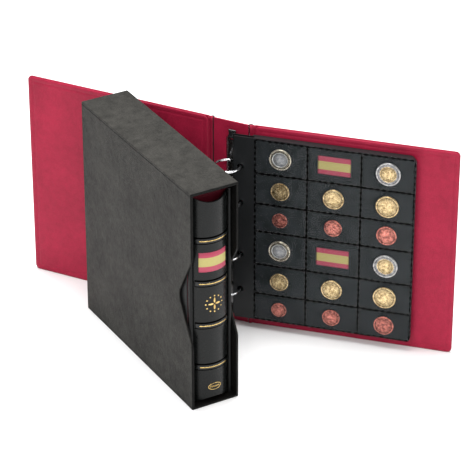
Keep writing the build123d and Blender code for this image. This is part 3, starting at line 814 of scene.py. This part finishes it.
def seamBead(start, end, phase):
    start, end = np.array(start), np.array(end)
    length = np.linalg.norm(end - start)
    along = np.linspace(0, length, int(length / seam["step"]))
    direction = (end - start) / length
    side = np.array([-direction[1], direction[0]])
    beat = np.sin(2 * math.pi * along / seam["pinch"] + phase)
    fat = 1 - seam["thin"] + seam["thin"] * np.tanh(4 * beat)  # long fat stretches with short pinches between
    taper = np.minimum(1, np.minimum(along, length - along) / seam["taper"] + 0.2)
    angle = np.linspace(0, math.pi, seam["steps"])
    reach = np.cos(angle)[None, :] * (seam["width"] / 2 * fat * taper)[:, None]
    reach = reach + (seam["wander"] * np.sin(along * 300 + phase))[:, None]
    x, y = (start[axis] + direction[axis] * along[:, None] + side[axis] * reach for axis in (0, 1))
    z = np.sin(angle)[None, :] * (seam["height"] * fat * taper)[:, None] + leaf["clear"]
    return place(leafOrigin + backFacing * filmFront, leafAxes, x, y, z)


inset = seam["inset"]
beads = []
for number, edge in enumerate(columnEdges):
    at = np.clip(edge, leafLeft + inset, leafRight - inset)
    bead = seamBead((at, leafLow + inset), (at, leafHigh - inset), number * 1.3)
    beads.append(gridMesh("bead", bead, wrap=True))
for number, edge in enumerate(rowEdges):
    at = np.clip(edge, leafLow + inset, leafHigh - inset)
    bead = seamBead((leafLeft + inset, at), (leafRight - inset, at), number * 0.9)
    beads.append(gridMesh("bead", bead, wrap=True))
seams = joinMeshes("leafSeams", beads)
fillEnds(seams)
finishPiece(seams, seamPlastic, "top_leaf", "leaf_plastic")

# striped inserts: thin cards, a little bowed, with softened corners
insert = dict(thick=0.0004, halfTall=0.0105, corner=0.0008, edge=0.0006, bow=0.2, stepsX=24, stepsY=14)
insertLow, insertHigh = extent("striped_inserts", leafOrigin, backRun)
for half in (0, 3):
    cx, cy = cellMiddle(1, half)
    halfWide, halfTall = (insertHigh - insertLow) / 2, insert["halfTall"]

    def cardHeight(x, y, inside):
        bow = 1 - insert["bow"] + insert["bow"] * np.cos((x - cx) / halfWide)
        return insert["thick"] * roundEdge(inside, insert["edge"]) * bow

    card = padMesh("stripedInsert" + str(half // 3 + 1), leafOrigin + backFacing * coinFloor, leafAxes,
                   np.linspace(cx - halfWide, cx + halfWide, insert["stepsX"]),
                   np.linspace(cy - halfTall, cy + halfTall, insert["stepsY"]), insert["corner"], cardHeight)
    finishPiece(card, labelStripes, "top_leaf", "striped_paper", *(["striped_inserts"] if half == 0 else []))
print("top leaf made")


# coin: a turned profile whose upper face is struck
coin = dict(rim=0.0013, sink=0.00026, angles=120, rays=0.00012, wreath=0.00016, foot=0.00025, bevel=0.0002,
            edge=0.00005, reed=0.00003, reeds=60, faceSteps=16, rimSteps=10, letterRise=0.00006,
            letterBevel=0.00003, wreathAt=0.74, wreathHalf=0.045, leaves=20, rayCount=12, rayTwist=900,
            rayFrom=0.2, rayTo=0.62)
# core of a two-metal coin: play in its ring, how much thinner it is, its lift and its own rim
coinCore = dict(play=0.00003, thinner=0.0003, lift=0.00015, rim=0.0004)


def coinBody(name, x, y, inner, outer, thick, base, struck):
    angle = np.linspace(0, 2 * math.pi, coin["angles"], endpoint=False)
    face = np.concatenate([np.linspace(inner, outer - coin["rim"], coin["faceSteps"]),
                           np.linspace(outer - coin["rim"], outer - coin["edge"], coin["rimSteps"])[1:]])
    radii = [inner, outer - coin["foot"], outer, outer]
    levels = [0, 0, coin["bevel"], thick - coin["bevel"]]
    low = np.array(radii)[:, None] * np.ones(len(angle))
    lowZ = np.array(levels)[:, None] * np.ones(len(angle))
    high = face[::-1, None] * np.ones(len(angle))
    highZ = thick - struck(high, np.broadcast_to(angle, high.shape))
    r = np.concatenate([low, high])
    z = np.concatenate([lowZ, highZ])
    if inner:
        r, z = np.concatenate([r, r[:1]]), np.concatenate([z, z[:1]])
    reed = coin["reed"] * np.cos(angle * coin["reeds"])
    r = r + np.where(r >= outer - 1e-9, reed[None, :], 0)
    grid = place(leafOrigin + backFacing * (coinFloor + base), leafAxes,
                 x + r * np.cos(angle), y + r * np.sin(angle), z)
    uv = np.stack([np.broadcast_to(angle / (2 * math.pi), r.shape), r / outer], axis=-1)
    return gridMesh(name, grid, wrap=True, uv=uv)


def numeral(name, text, x, y, size, lift):
    curve = bpy.data.curves.new(name, "FONT")
    curve.body = text
    curve.size = size
    curve.extrude = coin["letterRise"]
    curve.bevel_depth = coin["letterBevel"]
    curve.align_x = "CENTER"
    curve.align_y = "CENTER"
    curve.resolution_u = 3
    holder = linkPiece(name, curve)
    bpy.context.view_layer.update()
    mesh = bpy.data.meshes.new_from_object(holder)
    bpy.data.objects.remove(holder)
    flat = np.empty(len(mesh.vertices) * 3)
    mesh.vertices.foreach_get("co", flat)
    flat = flat.reshape(-1, 3)
    world = place(leafOrigin + backFacing * (coinFloor + lift), leafAxes,
                  x + flat[:, 0], y + flat[:, 1], flat[:, 2])
    mesh.vertices.foreach_set("co", world.reshape(-1))
    piece = linkPiece(name, mesh)
    closeSeams(piece, smooth=False)
    return piece


# depth of the struck face below the top of the rim: the rim is rounded and highest half way across it, and the
# field is sunk, with a wreath of bumps near the rim and twisted rays round the numeral standing up from it
def struckFace(rim, outer):
    def depth(r, angle):
        crown = ((outer - r - rim / 2) / (rim / 2)) ** 2
        sunk = np.minimum(crown, 1) * coin["sink"]
        share = r / outer
        band = np.exp(-((share - coin["wreathAt"]) / coin["wreathHalf"]) ** 2)
        wreath = band * (0.5 + 0.5 * np.sin(angle * coin["leaves"])) * coin["wreath"]
        rays = (0.5 + 0.5 * np.sin(angle * coin["rayCount"] + r * coin["rayTwist"])) * coin["rays"]
        rays = rays * (share < coin["rayTo"]) * (share > coin["rayFrom"])
        return np.maximum(sunk - wreath - rays, 0)
    return depth


# metal of a coin or its core, metal of the ring round a core, and slot names for them
finishes = dict(silver=brightSilver, gold=brassCoin, copper=copperCoin)
paired = dict(silver=paleBrass, gold=silverCoin)
slots = dict(silver="coin_silver", gold="coin_gold", copper="coin_copper")
other = dict(silver="gold", gold="silver")
for kind in coinKinds:
    metal, size = kind["kind"].split("_")
    name = metal + size.capitalize() + "Coins"
    outer, thick, core = kind["across"] / 2000, kind["thick"] / 1000, kind["core"] / 2000
    bodies, rings, marks = [], [], []
    for spotKind, x, y in coinSpots:
        if spotKind is not kind:
            continue
        if core:
            rings.append(coinBody("ring", x, y, core, outer, thick, 0, struckFace(coin["rim"], outer)))
            bodies.append(coinBody("core", x, y, 0, core - coinCore["play"], thick - coinCore["thinner"],
                                   coinCore["lift"], struckFace(coinCore["rim"], core)))
        else:
            bodies.append(coinBody("disc", x, y, 0, outer, thick, 0, struckFace(coin["rim"], outer)))
        letterSize = (core or outer) * (1.35 if len(kind["mark"]) == 1 else 1.0)
        top = thick - coin["sink"] * (2 if core else 1)
        marks.append(numeral("mark", kind["mark"], x, y, letterSize, top))
    disc = joinMeshes(name, bodies + marks)
    closeSeams(disc)
    finishPiece(disc, finishes[metal], "top_leaf", slots[metal], "coins_" + kind["kind"])
    if core:
        ringPiece = joinMeshes(name + "Ring", rings)
        closeSeams(ringPiece)
        finishPiece(ringPiece, paired[metal], "top_leaf", slots[other[metal]],
                    "coins_" + kind["kind"] + "_ring")
print("coins struck")


# floor, even white world and three square lamps that look at the middle of the object
studio = dict(halfFloor=4.5, floorColour=(0.88, 0.88, 0.88), worldLight=0.45, middle=(0.08, 0.0, 0.12))
lamps = dict(keyLight=dict(place=(-1.6, -1.5, 2.2), size=1.4, power=40.0),
             fillLight=dict(place=(1.9, -1.7, 1.3), size=1.6, power=20.0),
             topLight=dict(place=(0.2, 0.4, 2.6), size=1.8, power=115.0))
floorMesh = bpy.data.meshes.new("studioFloor")
halfFloor = studio["halfFloor"]
floorMesh.from_pydata([(-halfFloor, -halfFloor, 0), (halfFloor, -halfFloor, 0), (halfFloor, halfFloor, 0),
                       (-halfFloor, halfFloor, 0)], [], [(0, 1, 2, 3)])
studioFloor = linkPiece("studioFloor", floorMesh)
floorMesh.materials.append(plainFinish("paleFloor", studio["floorColour"], 0.8, 40.0, 0.0001, speck=0.01))

bpy.context.scene.view_settings.view_transform = "Standard"
world = bpy.data.worlds.new("studioWorld")
world.use_nodes = True
world.node_tree.nodes["Background"].inputs["Color"].default_value = (1, 1, 1, 1)
world.node_tree.nodes["Background"].inputs["Strength"].default_value = studio["worldLight"]
bpy.context.scene.world = world

for name, lamp in lamps.items():
    data = bpy.data.lights.new(name, "AREA")
    data.shape = "SQUARE"
    data.size = lamp["size"]
    data.energy = lamp["power"]
    light = linkPiece(name, data)
    light.location = lamp["place"]
    aim = Vector(studio["middle"]) - Vector(lamp["place"])
    light.rotation_euler = aim.to_track_quat("-Z", "Y").to_euler()

# camera: its place, turned from +Y towards +X and tilted down, in degrees
view = dict(place=(-1.1166, -2.0966, 1.4924), turn=29.92, tilt=29.66, lens=203.4)
lensData = bpy.data.cameras.new("albumCamera")
lensData.lens = view["lens"]
lensData.sensor_width = 36.0
lensData.clip_end = 50.0
camera = linkPiece("albumCamera", lensData)
camera.location = view["place"]
camera.rotation_euler = (math.radians(90 - view["tilt"]), 0, -math.radians(view["turn"]))
bpy.context.scene.camera = camera
print("studio set")
